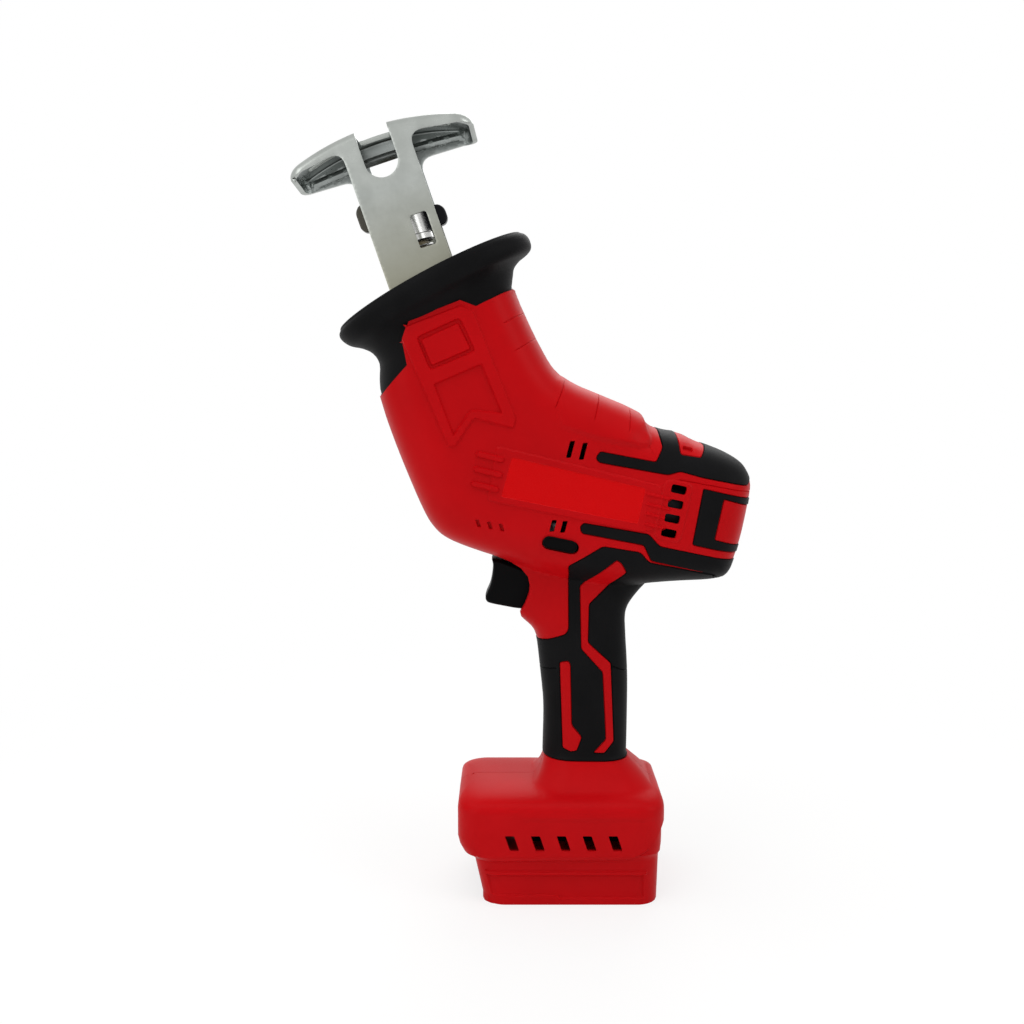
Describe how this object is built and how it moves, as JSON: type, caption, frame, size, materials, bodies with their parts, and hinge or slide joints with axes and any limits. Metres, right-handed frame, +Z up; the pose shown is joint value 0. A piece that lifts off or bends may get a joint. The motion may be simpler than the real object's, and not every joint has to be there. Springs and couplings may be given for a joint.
{
  "type": "reciprocating saw",
  "caption": "One-handed cordless reciprocating saw without battery or blade: upright blade axis, curved steel shoe, rubber nose boot, pistol handle and battery foot",
  "frame": {"origin": "centre of the bounding box's bottom face, on the plane the battery foot stands on", "axes": "+Z up; -X towards the trigger and blade side, +X towards the motor's rear; -Y the saw's left side, +Y its right side; the blade axis leans 19 degrees from +Z towards -X"},
  "size_m": [0.2296, 0.076, 0.3905],
  "materials": {
    "red_nylon": "glass-filled nylon, moulded, satin red",
    "black_rubber": "thermoplastic elastomer, overmoulded, matte black",
    "black_nylon": "moulded nylon, fine grain, black",
    "shoe_steel": "stamped steel, zinc plated, slightly brushed",
    "bright_steel": "turned or ground steel, bare",
    "bronzed_steel": "dark bronze-brown phosphated steel",
    "cast_aluminium": "die cast, bare",
    "copper": "copper windings and contacts",
    "carbon": "pressed carbon",
    "red_lead": "soft insulation, red",
    "black_lead": "soft insulation, black"
  },
  "bodies": {
    "housing": {"left_housing": "red_nylon", "right_housing": "red_nylon", "left_grip": "black_rubber", "right_grip": "black_rubber", "left_rear_band": "black_rubber", "right_rear_band": "black_rubber", "nose_boot": "black_rubber", "spindle_seal": "black_rubber", "trigger_switch": "black_nylon", "motor_end_bell": "black_nylon", "terminal_block": "black_nylon", "speed_controller": "black_nylon", "shoe": "shoe_steel", "body_screw_1": "bright_steel", "body_screw_2": "bright_steel", "body_screw_3": "bright_steel", "body_screw_4": "bright_steel", "body_screw_5": "bright_steel", "body_screw_6": "bright_steel", "handle_screw_1": "bright_steel", "handle_screw_2": "bright_steel", "left_shoe_screw": "bright_steel", "right_shoe_screw": "bright_steel", "drive_gear_bearing": "bright_steel", "balance_gear_bearing": "bright_steel", "motor_can": "bright_steel", "front_motor_bearing": "bright_steel", "rear_motor_bearing": "bright_steel", "trigger_spring": "bright_steel", "spindle_front_bushing": "bronzed_steel", "spindle_rear_bushing": "bronzed_steel", "left_gear_case": "cast_aluminium", "right_gear_case": "cast_aluminium", "positive_contact": "copper", "negative_contact": "copper", "signal_contact": "copper", "upper_brush": "carbon", "lower_brush": "carbon", "positive_battery_lead": "red_lead", "positive_motor_lead": "red_lead", "negative_battery_lead": "black_lead", "negative_motor_lead": "black_lead"},
    "rotor": {"armature": "copper", "commutator": "copper", "cooling_fan": "black_nylon", "motor_pinion": "bright_steel"},
    "drive_gear": {"drive_gear": "bright_steel"},
    "balance_gear": {"balance_gear": "bright_steel"},
    "spindle": {"spindle": "bright_steel", "clamp_body": "bronzed_steel", "clamp_spring": "bright_steel", "clamp_retaining_ring": "bright_steel", "blade_lock_pin": "bright_steel"},
    "counterweight": {"counterweight": "bright_steel"},
    "clamp_sleeve": {"clamp_sleeve": "bronzed_steel"},
    "trigger": {"trigger": "black_nylon"},
    "lock_button": {"lock_button": "black_nylon"}
  },
  "joints": [
    {"name": "rotor_spin", "type": "hinge", "parent": "housing", "child": "rotor", "pos_m": [0.04156, 0, 0.20522], "axis": [0.9781, 0, -0.2079], "continuous": true},
    {"name": "drive_gear_spin", "type": "hinge", "parent": "housing", "child": "drive_gear", "pos_m": [-0.01713, 0, 0.2177], "axis": [0, 1, 0], "continuous": true},
    {"name": "balance_gear_spin", "type": "hinge", "parent": "housing", "child": "balance_gear", "pos_m": [-0.01713, 0, 0.2177], "axis": [0, 1, 0], "continuous": true},
    {"name": "spindle_slide", "type": "slide", "parent": "housing", "child": "spindle", "axis": [-0.3256, 0, 0.9455], "range_m": [-0.01, 0.01]},
    {"name": "counterweight_slide", "type": "slide", "parent": "housing", "child": "counterweight", "axis": [-0.3256, 0, 0.9455], "range_m": [-0.01, 0.01]},
    {"name": "clamp_sleeve_twist", "type": "hinge", "parent": "spindle", "child": "clamp_sleeve", "pos_m": [-0.05946, 0, 0.34062], "axis": [-0.3256, 0, 0.9455], "range_deg": [0, 25], "stiffness_Nm_per_rad": 0.05},
    {"name": "trigger_slide", "type": "slide", "parent": "housing", "child": "trigger", "axis": [1, 0, 0], "range_m": [0, 0.006], "stiffness_N_per_m": 400, "deforming": ["trigger_spring"]},
    {"name": "lock_button_slide", "type": "slide", "parent": "housing", "child": "lock_button", "axis": [0, 1, 0], "range_m": [-0.003, 0.003]}
  ],
  "couplings": [
    {"joint": "drive_gear_spin", "follows": "rotor_spin", "ratio": 0.22222},
    {"joint": "balance_gear_spin", "follows": "rotor_spin", "ratio": -0.22222},
    {"joint": "counterweight_slide", "follows": "spindle_slide", "ratio": -1}
  ]
}
